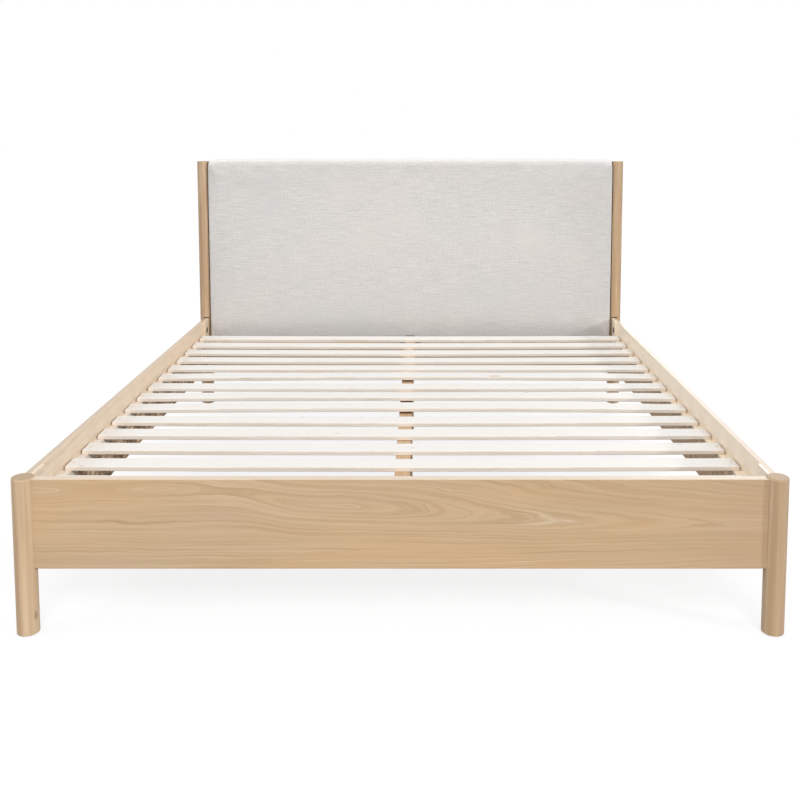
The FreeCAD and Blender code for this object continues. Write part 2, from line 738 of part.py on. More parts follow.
def save_headboard():
    """Cross rail, pad, its hidden frame and the bolts that hold it."""
    save("headboard_cross_rail", cross_rail())
    save("headboard_pad", headboard_pad())
    save("headboard_face_board", block(
        -frame_half, frame_half, face_board_front, frame_front, frame_low, frame_high))
    save("headboard_top_batten", frame_batten(frame_high - stile_width))
    save("headboard_bottom_batten", frame_batten(frame_low))
    cloth_half = frame_half + back_cloth_lap
    save("headboard_back_cloth", block(
        -cloth_half, cloth_half, frame_back, frame_back + back_cloth_thickness,
        frame_low - back_cloth_lap, frame_high + back_cloth_lap))
    bolts, inserts = [], []
    for name, side in SIDES:
        save("headboard_stile_" + name, stile(side))
        for height in panel_bolt_heights:
            bolts.append(mirrored(panel_bolt(height), side))
            way_start = at(frame_half - panel_insert_length - cut_overrun, panel_bolt_y, height)
            way_length = panel_insert_length + 2 * cut_overrun
            way = rod(panel_bolt_diameter + 2 * fit, way_start, X, way_length)
            inserts.append(mirrored(panel_insert(height, 0).cut(way), side))
    save("panel_bolts", *bolts)
    save("panel_inserts", *inserts)


os.makedirs("parts", exist_ok=True)
save_base()
save_slats()
save_centre()
save_headboard()
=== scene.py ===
# %% [markdown]
# # A platform bed, dressed for its photograph
# The bed has an oak footboard between two round legs, oak side rails, pine slats, and an
# upholstered headboard between two round posts. A CAD model fixes every size, and each of its
# solids comes in as a mesh, in place. Blender adds what a solid can't hold: wood grain, woven
# cloth, the swell of foam, screw heads, threads and staples.
# Each step says what a piece is, how it could be made, and why this way was chosen. Lengths are
# metres, with Z up, the foot of the bed towards -Y, and the origin on the floor in its middle.

# %% Load the CAD model
import bpy
import math
import numpy as np
from functools import partialmethod
from mathutils import Euler, Matrix, Vector, noise as field


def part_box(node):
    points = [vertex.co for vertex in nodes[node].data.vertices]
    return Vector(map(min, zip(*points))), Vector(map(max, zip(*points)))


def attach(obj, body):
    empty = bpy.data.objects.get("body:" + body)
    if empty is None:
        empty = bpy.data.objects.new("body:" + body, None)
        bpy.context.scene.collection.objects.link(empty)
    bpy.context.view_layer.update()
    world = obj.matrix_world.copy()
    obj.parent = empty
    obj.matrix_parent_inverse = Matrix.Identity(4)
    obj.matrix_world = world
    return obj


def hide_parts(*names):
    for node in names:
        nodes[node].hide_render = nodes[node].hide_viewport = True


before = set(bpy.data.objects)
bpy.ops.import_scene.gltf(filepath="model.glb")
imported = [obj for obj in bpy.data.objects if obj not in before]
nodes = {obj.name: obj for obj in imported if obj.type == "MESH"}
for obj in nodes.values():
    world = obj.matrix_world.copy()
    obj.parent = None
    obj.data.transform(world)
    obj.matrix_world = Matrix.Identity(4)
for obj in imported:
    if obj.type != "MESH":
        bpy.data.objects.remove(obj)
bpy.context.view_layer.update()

scene = bpy.context.scene


# %% Add to the scene
def mesh(name, points, faces=(), smooth=False):
    """A new mesh from points and faces."""
    made = bpy.data.meshes.new(name)
    made.from_pydata(points, [], faces, shade_flat=not smooth)
    return made


def placed(name, data):
    """A new object that shows a mesh, a lamp or a camera."""
    thing = bpy.data.objects.new(name, data)
    scene.collection.objects.link(thing)
    return thing


# %% [markdown]
# ## Camera
# The photograph was taken from the foot of the bed at about eye height, almost level, with the
# picture cropped from a wider one. A level camera keeps the legs and posts nearly parallel, and a
# lens shift moves the crop. Tilting the camera down instead would make the posts lean outwards.
# The shift here is the largest that still frames the bed in a raised view, and a small tilt of
# five degrees makes up the rest.

# %% Set the camera
TILT = 5.189
camera = placed("camera", bpy.data.cameras.new("camera"))
camera.location = (0.0576, -3.4431, 1.3261)
camera.rotation_euler = (math.radians(90 - TILT), 0, 0)
camera.data.lens = 42.534
camera.data.shift_x, camera.data.shift_y = -0.0279, -0.232
scene.camera = camera
scene.view_settings.view_transform = "Standard"
print("camera at %.3f %.3f %.3f," % tuple(camera.location), "with a lens of", camera.data.lens, "mm")

# %% [markdown]
# ## Maths on sockets
# A procedural finish is a formula over the place of each point. Wiring it node by node hides the
# formula, so a small class wraps one socket and turns Python's operators into Math nodes. A second
# class holds the node tree and makes every other node in one call. Both serve shaders and Geometry
# Nodes alike, because both kinds of tree have the Math node.

# %% Wrap a socket
class Wire:
    """One socket of a node tree. Arithmetic on it adds Math nodes."""

    def __init__(self, tree, socket):
        self.tree, self.socket = tree, socket

    def out(self, name):
        """Another output of the same node."""
        return Wire(self.tree, self.socket.node.outputs[name])

    def maths(self, operation, *others):
        return self.tree.node("ShaderNodeMath", dict(enumerate((self, *others))), {"operation": operation})

    def __rsub__(self, other):
        return self * -1 + other

    def between(self, low, high):
        """Nought at low, one at high, and a smooth step from one to the other."""
        sockets = {"Value": self, "From Min": low, "From Max": high}
        return self.tree.node("ShaderNodeMapRange", sockets, {"interpolation_type": "SMOOTHSTEP"})


OPERATIONS = {
    "__add__": "ADD", "__radd__": "ADD", "__sub__": "SUBTRACT", "__mul__": "MULTIPLY",
    "__rmul__": "MULTIPLY", "__truediv__": "DIVIDE", "__pow__": "POWER", "__abs__": "ABSOLUTE",
    "floor": "FLOOR", "fraction": "FRACT", "most": "MAXIMUM", "least": "MINIMUM"}
for method, operation in OPERATIONS.items():
    setattr(Wire, method, partialmethod(Wire.maths, operation))
print("a wire knows", len(OPERATIONS), "kinds of arithmetic")


# %% Hold a node tree
class Tree:
    """A node tree that is filled by code."""

    def __init__(self, nodes_and_links):
        self.tree = nodes_and_links
        self.tree.nodes.clear()

    def node(self, kind, sockets=None, settings=None, output=0):
        """Add a node with its settings, then give its sockets values or links."""
        made = self.tree.nodes.new(kind)
        for key, value in (settings or {}).items():
            if key == "stops":
                ramp = made.color_ramp
                while len(ramp.elements) < len(value):
                    ramp.elements.new(0.5)
                for element, (place, colour) in zip(ramp.elements, value):
                    element.position, element.color = place, colour
            elif key == "blend":
                made.color_ramp.interpolation = value
            else:
                setattr(made, key, value)
        for key, value in (sockets or {}).items():
            for one in value if isinstance(value, list) else [value]:
                if isinstance(one, Wire):
                    self.tree.links.new(one.socket, made.inputs[key])
                else:
                    made.inputs[key].default_value = one
        return Wire(self, made.outputs[output]) if len(made.outputs) else None

    def vector(self, x=0, y=0, z=0):
        return self.node("ShaderNodeCombineXYZ", {"X": x, "Y": y, "Z": z})

    def parts(self, vector):
        """The X, Y and Z of a vector."""
        spot = self.node("ShaderNodeSeparateXYZ", {"Vector": vector})
        return [spot.out(axis) for axis in "XYZ"]


# %% [markdown]
# ## Finishes
# A finish is a material on one Principled shader. Colours are written as they look on a screen,
# 0 to 255, and turned into the linear values of shaders. Noise, mixes of colours and bumps come up
# in every finish, so each has a short name here.

# %% Build a material
def paint(red, green, blue):
    """A screen colour, 0 to 255, as linear values."""
    linear = [((c / 255 + 0.055) / 1.055) ** 2.4 if c > 10 else c / 255 / 12.92 for c in (red, green, blue)]
    return (*linear, 1.0)


class Finish(Tree):
    """A material whose patterns are laid out over the object's own metres."""

    def __init__(self, name):
        self.material = bpy.data.materials.new(name)
        self.material.use_nodes = True
        super().__init__(self.material.node_tree)
        self.place = self.node("ShaderNodeTexCoord").out("Object")
        self.x, self.y, self.z = self.parts(self.place)

    def noise(self, where, detail=2.0, roughness=0.5, scale=1.0):
        sockets = {"Vector": where, "Scale": scale, "Detail": detail, "Roughness": roughness}
        return self.node("ShaderNodeTexNoise", sockets)

    def mix(self, share, first, second, way="MIX"):
        """Blend from the first colour to the second."""
        settings = {"data_type": "RGBA", "blend_type": way}
        return self.node("ShaderNodeMix", {0: share, 6: first, 7: second}, settings, 2)

    def bump(self, height, depth, strength):
        """Normals of a surface whose relief is height times depth metres."""
        sockets = {"Height": height, "Distance": depth, "Strength": strength}
        return self.node("ShaderNodeBump", sockets)

    def surface(self, **sockets):
        """Close with a Principled shader. Its sockets are named with underscores."""
        named = {key.replace("_", " "): value for key, value in sockets.items()}
        shader = self.node("ShaderNodeBsdfPrincipled", named)
        self.node("ShaderNodeOutputMaterial", {"Surface": shader})
        print("finish", self.material.name, "of", len(self.material.node_tree.nodes), "nodes")
        return self.material


# %% [markdown]
# ## Light and floor
# The photograph is a studio picture with a white surround. A soft main light stands in front, and
# a low narrow one far to the right, which lays the shadow of the right leg on the footboard. Lamps
# near the bed would light its foot more than its head, so suns with soft edges do the work, and a
# white sky fills the shadows. A weak sun behind the bed keeps the back of the headboard readable.
# The sky is dimmer for the light it gives than for the picture it makes: the camera, and glossy
# reflections, see pure white.

# %% Set the sky
SKY_LEVEL = 0.52


def pictured(tree):
    """One on rays that make the picture or a reflection, nought on rays that carry light."""
    ray = tree.node("ShaderNodeLightPath")
    return ray.out("Is Camera Ray").most(ray.out("Is Glossy Ray")).most(ray.out("Is Transmission Ray"))


sky = bpy.data.worlds.new("studio")
sky.use_nodes = True
scene.world = sky
studio = Tree(sky.node_tree)
glow = studio.node("ShaderNodeBackground", {
    "Color": (1, 1, 1, 1), "Strength": pictured(studio) * (1 - SKY_LEVEL) + SKY_LEVEL})
studio.node("ShaderNodeOutputWorld", {"Surface": glow})
print("the sky lights the bed at", SKY_LEVEL, "of what the camera sees")


# %% Hang the suns
def sun(name, towards, strength, spread):
    """A soft sun. towards points at it, and the spread is in degrees."""
    lamp = placed(name, bpy.data.lights.new(name, "SUN"))
    lamp.data.energy = strength
    lamp.data.angle = math.radians(spread)
    lamp.rotation_euler = Vector(towards).to_track_quat("Z", "Y").to_euler()
    print(name, "of strength", strength, "and", spread, "degrees wide")


sun("main_light", (0.10, -0.75, 0.65), 1.42, 25)
sun("side_light", (0.85, -0.42, 0.32), 1.3, 5)
sun("fill_light", (-0.78, -0.28, 0.56), 0.8, 40)
sun("back_light", (0.30, 0.90, 0.32), 0.55, 40)

# %% Lay the floor
FLOOR_HALF, FLOOR_SHADE, FLOOR_GLOW = 60.0, 0.2, 0.81
corners = [(x * FLOOR_HALF, y * FLOOR_HALF, 0) for x, y in ((-1, -1), (1, -1), (1, 1), (-1, 1))]
floor = placed("floor", mesh("floor", corners, [(0, 1, 2, 3)]))
floor_finish = bpy.data.materials.new("floor")
floor_finish.use_nodes = True
paper = Tree(floor_finish.node_tree)
lit = paper.node("ShaderNodeBsdfDiffuse", {"Color": (FLOOR_SHADE,) * 3 + (1,)})
shine = paper.node("ShaderNodeEmission", {"Strength": pictured(paper) * FLOOR_GLOW})
both = paper.node("ShaderNodeAddShader", {0: lit, 1: shine})
paper.node("ShaderNodeOutputMaterial", {"Surface": both})
floor.data.materials.append(floor_finish)
print("floor", FLOOR_HALF * 2, "m wide, at", FLOOR_GLOW, "of white")

# %% [markdown]
# ## Wood
# A board is a slice of a log, and its figure is where the slice cuts the yearly rings. An image of
# oak would repeat and stretch, so the ring field itself is made: the distance from the log's heart,
# bent a little by noise. A noise that runs along the rings then gives streaks that follow them, on
# every face, and the ends show end grain without more work. The heart line of each board is a
# choice. Where it comes near a face, the rings close into arches and eyes.

# %% Slice a log
GRAIN = {"x": "xzy", "y": "yzx", "z": "zxy"}


def timber(name, grain, heart, tones, streak=95.0, wander=0.02, lines=0.5, rough=0.5, coat=0.0,
           spots=None, bare=None):
    """Wood with its grain along one axis.

    heart gives how far a point is from the log's heart, across and through the board. tones are
    the dark and light of the body, the fine dark line, the fine pale line, and a warm and a cool
    patch. spots changes the colour in places, and bare is one where the wood has no varnish.
    """
    wood = Finish(name)
    along, across, through = (getattr(wood, axis) for axis in GRAIN[grain])
    off_across, off_through = heart(wood, along, across, through)

    def drawn(length, width, detail, roughness=0.5, shift=0):
        """Noise drawn out along the grain."""
        spot = wood.vector(along * length, across * width, through * width + shift)
        return wood.noise(spot, detail, roughness)

    sway = drawn(1.7, 9, 3, 0.55) - 0.5
    ripple = drawn(11, 38, 2) - 0.5
    ring = (off_across * off_across + off_through * off_through) ** 0.5
    ring = ring + sway * wander + ripple * (wander * 0.3)
    body = wood.noise(wood.vector(along * 0.9, ring * streak, 3), 3, 0.55)
    year = (ring * (streak * 0.5) + body * 1.5).fraction() ** 4
    strong = drawn(1.6, 14, 2, shift=2).between(0.42, 0.62)
    dark_line = wood.noise(wood.vector(along * 1.2, ring * streak * 2.3, 9), 3, 0.6).between(0.54, 0.72)
    pale_line = wood.noise(wood.vector(along * 1.4, ring * streak * 1.9, 17), 3, 0.6).between(0.54, 0.74)
    fibre = drawn(9, 700, 2)
    pores = drawn(22, 1500, 1).between(0.62, 0.72)
    patch = drawn(1.3, 7, 2, shift=5)
    dark, light, line, pale, warm, cool = tones
    colour = wood.mix(body.between(0.32, 0.68), dark, light)
    colour = wood.mix(patch.between(0.48, 0.68) * 0.6, colour, warm)
    colour = wood.mix(patch.between(0.5, 0.3) * 0.45, colour, cool)
    colour = wood.mix(dark_line * lines, colour, line)
    colour = wood.mix(pale_line * lines, colour, pale)
    colour = wood.mix(year * strong * (lines * 0.7), colour, line)
    colour = wood.mix((fibre - 0.5) * 0.5 + pores * 0.22, colour, line)
    if spots:
        colour = spots(wood, colour)
    relief = fibre * 0.5 - pores - dark_line * 0.4
    raw = bare(wood) if bare else 0
    return wood.surface(
        Base_Color=colour, Roughness=fibre * 0.14 + (rough - 0.07 + raw * 0.45),
        Normal=wood.bump(relief, 0.00012, 0.6), Coat_Weight=(1 - raw) * coat, Coat_Roughness=0.22)


# %% [markdown]
# The footboard is one wide plain-sawn board. Its heart line starts near the top on the left, which
# draws an arch that points right and then a small eye, and comes close again near the middle, where
# it draws a long flat one. Towards the right end the streaks gather, so the high ones sink and the
# low ones climb. Colour ramps over the length hold that line, because a ramp is a curve that reads
# as a list of stops.

# %% Lay out the oak
OAK = [paint(*tone) for tone in (
    (195, 163, 124), (210, 182, 145), (172, 139, 103), (226, 205, 175), (215, 178, 138), (200, 177, 148))]
# The rail tones are paler than the footboard's: partly paler boards, and partly painted sheen for the
# grazing reflection on the rails' inner faces.
RAIL_OAK = [paint(*tone) for tone in (
    (222, 199, 171), (231, 212, 187), (204, 178, 148), (240, 224, 203), (230, 205, 177), (220, 203, 184))]
BOARD_LENGTH = 2.0
FOOTBOARD_Y = -1.05425
HEART_Z, GATHER_Z = 0.37, 0.3


def curve_along(wood, along, stops):
    """A value that changes along the footboard, by stops of place and value."""
    ends = [((x + BOARD_LENGTH / 2) / BOARD_LENGTH, (value, value, value, 1)) for x, value in stops]
    share = (along + BOARD_LENGTH / 2) / BOARD_LENGTH
    return wood.node("ShaderNodeValToRGB", {"Fac": share}, {"stops": ends, "blend": "B_SPLINE"})


def footboard_heart(wood, along, across, through):
    height = curve_along(wood, along, [
        (-0.95, 0.392), (-0.6, 0.397), (-0.42, 0.394), (-0.3, 0.358), (-0.19, 0.351), (0.02, 0.345),
        (0.35, 0.318), (0.95, 0.305)])
    depth = curve_along(wood, along, [
        (-0.95, 0.012), (-0.88, 0.02), (-0.8, 0.033), (-0.72, 0.023), (-0.64, 0.011), (-0.55, 0.021),
        (-0.48, 0.031), (-0.4, 0.029), (-0.3, 0.0165), (-0.2, 0.004), (-0.1, 0.0155), (0.0, 0.029),
        (0.12, 0.045), (0.4, 0.064), (0.95, 0.09)])
    gather = curve_along(wood, along, [(-0.95, 0), (0.1, 0), (0.4, 0.15), (0.7, 0.4), (0.95, 0.55)])
    near = abs(across - height).between(0.16, 0.01)
    lifted = across - HEART_Z - (height - HEART_Z) * near
    return lifted + (across - GATHER_Z) * gather, through - FOOTBOARD_Y + depth


def rail_heart(wood, along, across, through):
    sway = wood.noise(wood.vector(along * 0.8, 4, 0), 1) - 0.5
    return across - 0.52 + sway * 0.16, abs(through) - 0.94


def post_heart(wood, along, across, through):
    sway = wood.noise(wood.vector(along * 1.2, across * 2, through), 1) - 0.5
    return abs(across) - 0.945 + sway * 0.03, abs(through) - 1.075


print("oak in", len(OAK + RAIL_OAK), "tones, over a footboard of up to", BOARD_LENGTH, "m")

# %% [markdown]
# Some marks don't follow the grain: boards cut from darker or paler timber, end grain on the tops of
# the legs and posts, and a knot. Others are painted light and shade: a painted highlight on the
# footboard's top edge, painted light on the right rail's inner face, painted shade on the legs' outer
# edges, on the strip of the rails under the slats, which is also left unfinished, and in the joints'
# housings and bolt pockets.
# Each is a soft box or spot in the object's own metres, mixed over the grain. A painted mask would
# need an image, and these places are few and known.

# %% Mark the oak
RAIL_X, RAIL_Z, HOUSING_Y = 0.979, 0.30275, 1.0312
POCKET_X, POCKET_Y, POCKET_Z, POCKET_RISE = 0.976, 0.98925, 0.3053, 0.06507
KNOT_X, KNOT_Y, KNOT_Z, KNOT_WIDE, KNOT_TALL = -0.9568, -1.0666, 0.053, 1.6, 0.5


def facing_up(wood):
    """One on faces that look up, nought on the rest."""
    return wood.parts(wood.node("ShaderNodeNewGeometry").out("Normal"))[2].between(0.5, 0.9)


def on_the_right(wood):
    """Nought on the left half of the bed, one on the right."""
    return wood.x.between(-0.5, 0.5)


def post_marks(wood, colour):
    """Pale left leg, darker right leg and posts, painted shade on leg edges and in the housing, end grain,
    a knot.
    """
    right, head = on_the_right(wood), wood.y.between(-0.5, 0.5)
    soft = wood.noise(wood.vector(wood.x * 60, wood.y * 60, wood.z * 2.4), 2)
    # The slit of each housing above a rail's end, which is darkened with painted shade.
    cut = abs(abs(wood.x) - RAIL_X).between(0.0138, 0.0132) * abs(wood.z - RAIL_Z).between(0.124, 0.1232)
    cut = cut * abs(wood.y - HOUSING_Y).between(0.005, 0.0044)
    for share, tone in (
            ((right * 0.24).most(head * (0.62 - right * 0.3)), (172, 141, 112)),
            ((1 - right) * (1 - head) * 0.13, (238, 219, 196)),
            # Painted shade on the right side of the right leg and the outer left edge of the left leg.
            (wood.x.between(0.98, 1.01) * 0.45, (157, 131, 110)),
            (wood.x.between(-0.985, -1.005) * 0.27, (150, 121, 95)),
            (soft.between(0.5, 0.68) * 0.4, (229, 203, 172)),
            (soft.between(0.5, 0.32) * 0.4, (176, 145, 114)),
            (facing_up(wood) * 0.8, (168, 142, 115)),
            # Painted shade in the housing's slit.
            (cut * 0.9, (46, 36, 30))):
        colour = wood.mix(share, colour, paint(*tone))
    knot = wood.node("ShaderNodeVectorMath", {
        0: wood.vector(wood.x * KNOT_WIDE, wood.y, wood.z * KNOT_TALL),
        1: (KNOT_X * KNOT_WIDE, KNOT_Y, KNOT_Z * KNOT_TALL)}, {"operation": "DISTANCE"}, "Value")
    knot = (knot * 150 + soft).maths("PINGPONG", 1) * (1 - knot.between(0.004, 0.011))
    return wood.mix(knot * 0.6, colour, paint(120, 98, 80))


def under_slats(wood):
    """One on the strip of the rail's inner face under the slats, unfinished and in painted shade, nought on
    the rest.
    """
    return abs(wood.x).between(0.984, 0.978) * wood.z.between(0.328, 0.324)


def rail_marks(wood, colour):
    """Painted light on the right rail, duller top edge, richer outer face, painted shade on raw strip and
    pockets.
    """
    x, y, z = abs(wood.x), abs(wood.y), wood.z
    inner = x.between(0.984, 0.978)
    right = on_the_right(wood)
    # Painted light: the right rail's inner face is made paler, for the sheen it shows at a grazing view.
    colour = wood.mix(right * inner * 0.9, colour, paint(253, 238, 217))
    colour = wood.mix((1 - right) * inner * x.between(0.974, 0.9755) * 0.15, colour, paint(196, 168, 138))
    colour = wood.mix(facing_up(wood) * x.between(0.9745, 0.9755) * 0.85, colour, paint(192, 170, 147))
    colour = wood.mix(x.between(0.985, 0.99), colour, paint(231, 219, 199), "MULTIPLY")
    # Painted shade: a dark brown mottle on the strip under the slats, for the shadow there.
    under_slat_shade = wood.noise(wood.vector(wood.x, wood.y * 26, z * 60), 3, 0.6)
    under_slat_shade = (under_slat_shade + right * 0.11).between(0.42, 0.6)
    under_slat_shade = wood.mix(under_slat_shade, paint(166, 136, 105), paint(240, 210, 178))
    colour = wood.mix(under_slats(wood) * 0.9, colour, under_slat_shade)
    # Painted shade on the walls of the bolt pockets.
    off_y, off_z = y - POCKET_Y, abs(z - POCKET_Z) - POCKET_RISE
    pocket_shade = (off_y * off_y + off_z * off_z).between(0.00024, 0.00023)
    pocket_shade = pocket_shade * abs(x - POCKET_X).between(0.0088, 0.0084)
    return wood.mix(pocket_shade * 0.9, colour, paint(48, 37, 30))


def board_marks(wood, colour):
    """A duller right end, and a painted highlight on the top edge."""
    colour = wood.mix(wood.x.between(0.58, 0.98) * 0.27, colour, paint(170, 143, 119))
    # Painted highlight on the top edge, on faces that look up.
    return wood.mix(facing_up(wood) * 0.85, colour, paint(219, 204, 186))


# %% Finish the oak
oak_footboard = timber(
    "oak_footboard", "x", footboard_heart, OAK, streak=115, wander=0.026, lines=0.62, coat=0.2,
    spots=board_marks)
oak_rail = timber(
    "oak_rail", "y", rail_heart, RAIL_OAK, streak=80, wander=0.04, lines=0.42, rough=0.42, coat=0.4,
    spots=rail_marks, bare=under_slats)
oak_post = timber("oak_post", "z", post_heart, OAK, streak=46, lines=0.2, spots=post_marks)

# %% [markdown]
# The slats are sawn pine, paler and plainer than the oak, and each was cut from another part of a
# log. The slat's number comes from its place along the bed, and shifts both the pattern and the
# tone. Knots and small specks are points of Voronoi patterns, drawn out along the grain, and the
# tops of the slats get a painted highlight. The ledges, the beam, its legs and the headboard's frame
# are plain pine too, so the same formula serves with other tones, with painted light on the right
# ledge, and with painted shade at the ends of the beam.

# %% Finish the pale woods
PINE = [paint(*tone) for tone in (
    (224, 213, 200), (232, 223, 212), (205, 184, 162), (238, 231, 222), (226, 211, 196), (228, 220, 211))]
BEAM_PINE = [paint(*tone) for tone in (
    (192, 158, 122), (203, 171, 136), (170, 135, 101), (214, 188, 156), (200, 163, 126), (190, 163, 133))]
# Painted highlight: the tone that the tops of the slats are lightened towards.
TOP_LIGHT_TONE = (236, 235, 233)
SLAT_FIRST, SLAT_PITCH = -0.93975, 0.137615


def slat_heart(wood, along, across, through):
    number = ((through - SLAT_FIRST) / SLAT_PITCH).floor()
    luck = wood.node("ShaderNodeTexWhiteNoise", {"W": number}, {"noise_dimensions": "1D"})
    return across - 0.30 + luck * 0.05, through * 0.6 + luck * 0.9 + along * 0.01


def knots_and_top_light(wood, colour):
    # Painted highlight on the faces that look up.
    colour = wood.mix(facing_up(wood) * 0.75, colour, paint(*TOP_LIGHT_TONE))
    for x, y, z, near, far, tone in (
            (2.4, 7.9, 6.1, 0.03, 0.085, (176, 138, 104)), (5.3, 15.1, 12.7, 0.025, 0.05, (142, 112, 90))):
        cells = wood.node("ShaderNodeTexVoronoi", {
            "Vector": wood.vector(wood.x * x, wood.y * y, wood.z * z), "Scale": 1.0})
        colour = wood.mix((1 - cells.between(near, far)) * 0.6, colour, paint(*tone))
    return colour


def plain_heart(wood, along, across, through):
    return across - 0.05, through + 0.4


def ledge_painted_light(wood, colour):
    """Painted light: the right ledge is paler and warmer, for light that reaches it."""
    return wood.mix(on_the_right(wood) * 0.8, colour, paint(250, 233, 208))


def beam_end_shade(wood, colour):
    """Painted shade on the last 3 cm at each end of the beam."""
    low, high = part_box("centre_beam")
    from_end = (high.y - low.y) / 2 - abs(wood.y - (low.y + high.y) / 2)
    return wood.mix(from_end.between(0.034, 0.031) * 0.9, colour, paint(66, 56, 49))


PLAIN = {"streak": 110, "lines": 0.35, "rough": 0.6}
slat_pine = timber("slat_pine", "x", slat_heart, PINE, streak=120, lines=0.4, rough=0.6, spots=knots_and_top_light)
ledge_pine = timber("ledge_pine", "y", plain_heart, PINE, spots=ledge_painted_light, **PLAIN)
beam_pine = timber("beam_pine", "y", plain_heart, BEAM_PINE, spots=beam_end_shade, **PLAIN)
leg_pine = timber("leg_pine", "z", plain_heart, BEAM_PINE, **PLAIN)
frame_pine = timber("frame_pine", "x", plain_heart, PINE, streak=90, lines=0.4, rough=0.7)


# %% [markdown]
# ## Metal, plastic and felt
# Small fittings carry a finish of their own: yellow-passivated zinc on the screws, bright zinc on
# the levellers, black on the joint bolts and folded stirrups, moulded plastic under the levellers
# and pressed felt under the legs. Each differs mainly in gloss and in the grain of its surface.

# %% Finish the fittings
def fitting(name, dark, light, cell, rough, metal=0.0, relief=0.00003):
    """Fine speckle between two tones, with a relief of the same grain."""
    skin = Finish(name)
    speck = skin.noise(skin.place, 3, 0.6, 1 / cell)
    cloud = skin.noise(skin.place, 2, 0.5, 14)
    colour = skin.mix((speck * 0.6 + cloud * 0.4).between(0.3, 0.7), paint(*dark), paint(*light))
    return skin.surface(Base_Color=colour, Metallic=metal, Roughness=cloud * 0.16 + (rough - 0.08),
                        Normal=skin.bump(speck, relief, 0.5))


yellow_zinc = fitting("yellow_zinc", (214, 188, 150), (236, 214, 180), 0.002, 0.42, 0.6)
bright_zinc = fitting("bright_zinc", (150, 152, 156), (204, 206, 210), 0.003, 0.34, 0.95)
black_coat = fitting("black_coat", (26, 26, 27), (44, 44, 46), 0.0008, 0.5)
grey_plastic = fitting("grey_plastic", (52, 51, 50), (66, 65, 63), 0.0006, 0.55)
brown_felt = fitting("brown_felt", (96, 82, 68), (134, 117, 98), 0.0007, 0.95, relief=0.0002)

# %% [markdown]
# ## Dressing the CAD solids
# Hard pieces whose shape is right keep their CAD mesh and only get a finish. The grain runs the long
# way of each piece, so the finish goes by how the solid's name starts. The first match counts.

# %% Assign the finishes
DRESS = (
    (oak_post, "front_leg headboard_post"), (oak_rail, "side_rail rail_block"),
    (oak_footboard, "footboard headboard_cross_rail"), (ledge_pine, "slat_ledge"),
    (yellow_zinc, "slat_screws ledge_screws stirrup_screws"), (slat_pine, "slat_"),
    (beam_pine, "centre_beam"), (bright_zinc, "centre_leg_studs panel_inserts"),
    (leg_pine, "centre_leg"), (black_coat, "beam_stirrup panel_bolts"), (brown_felt, "leg_glides"),
    (grey_plastic, "leveller_base"), (bright_zinc, "leveller"), (frame_pine, "joint_dowels"),
    (black_coat, "joint"), (frame_pine, "headboard"))
used = set()
for name, solid in nodes.items():
    finish = next(finish for finish, starts in DRESS if name.startswith(tuple(starts.split())))
    used.add(finish.name)
    for place in solid.material_slots:
        place.material = finish
print(len(nodes), "solids dressed in", len(used), "finishes")

# %% [markdown]
# ## Pieces that repeat
# Screws, threads and staples repeat, so Geometry Nodes make them. Each tree has its sizes as named
# inputs and ends in real geometry with a material. It runs on bare points that say where the
# copies go and how they turn, and its result is kept as a plain mesh.

# %% Run a Geometry Nodes tree
class Recipe(Tree):
    """A Geometry Nodes tree with named inputs for its sizes."""

    def __init__(self, name, sizes):
        super().__init__(bpy.data.node_groups.new(name, "GeometryNodeTree"))
        face = self.tree.interface
        for way in ("INPUT", "OUTPUT"):
            face.new_socket(name="Geometry", in_out=way, socket_type="NodeSocketGeometry")
        self.keys = {}
        for label, value in {**sizes, "Material": None}.items():
            kind = {int: "NodeSocketInt", float: "NodeSocketFloat"}.get(type(value), "NodeSocketMaterial")
            socket = face.new_socket(name=label, in_out="INPUT", socket_type=kind)
            if value is not None:
                socket.default_value = value
            self.keys[label] = socket.identifier
        self.start = self.tree.nodes.new("NodeGroupInput")

    def size(self, label):
        return Wire(self, self.start.outputs[label])

    def copies(self, shape):
        """The shape on every point, turned by the point's own angles."""
        turn = self.node("GeometryNodeInputNamedAttribute", {"Name": "turn"}, {"data_type": "FLOAT_VECTOR"})
        turn = self.node("FunctionNodeEulerToRotation", {"Euler": turn})
        return self.node("GeometryNodeInstanceOnPoints", {
            "Points": self.size("Geometry"), "Instance": shape, "Rotation": turn})

    def moved(self, geometry, **how):
        return self.node("GeometryNodeTransform", {"Geometry": geometry, **how})

    def close(self, geometry):
        real = self.node("GeometryNodeRealizeInstances", {"Geometry": geometry})
        sockets = {"Geometry": real, "Material": self.size("Material")}
        self.node("NodeGroupOutput", {"Geometry": self.node("GeometryNodeSetMaterial", sockets)})
        print("recipe", self.tree.name, "of", len(self.tree.nodes), "nodes")

    def make(self, name, places, material, **sizes):
        """Run the tree on places, each a point and its turn, and keep a plain mesh."""
        points = mesh(name + "_places", [place for place, turn in places])
        turns = points.attributes.new("turn", "FLOAT_VECTOR", "POINT")
        turns.data.foreach_set("vector", [angle for place, turn in places for angle in turn])
        piece = placed(name, points)
        run = piece.modifiers.new("make", "NODES")
        run.node_group = self.tree
        run[self.keys["Material"]] = material
        for label, value in sizes.items():
            run[self.keys[label.replace("_", " ")]] = value
        done = bpy.context.evaluated_depsgraph_get()
        plain = bpy.data.meshes.new_from_object(piece.evaluated_get(done), depsgraph=done)
        piece.modifiers.remove(run)
        piece.data = plain
        print(name, len(places), "copies,", len(plain.polygons), "faces")
        return piece


def fit(piece, body, slot, *replaced):
    """Hand a finished piece to the frame."""
    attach(piece, body)
    if replaced:
        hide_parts(*replaced)


# %% [markdown]
# A wood screw here is a countersunk head with a cross recess on a plain shank. Only the head shows,
# so the shank has few sides. The recess is cut once, on the screw that is then copied. One bar of
# the cross is a little deeper than the other, because bottoms that coincide would cut badly.

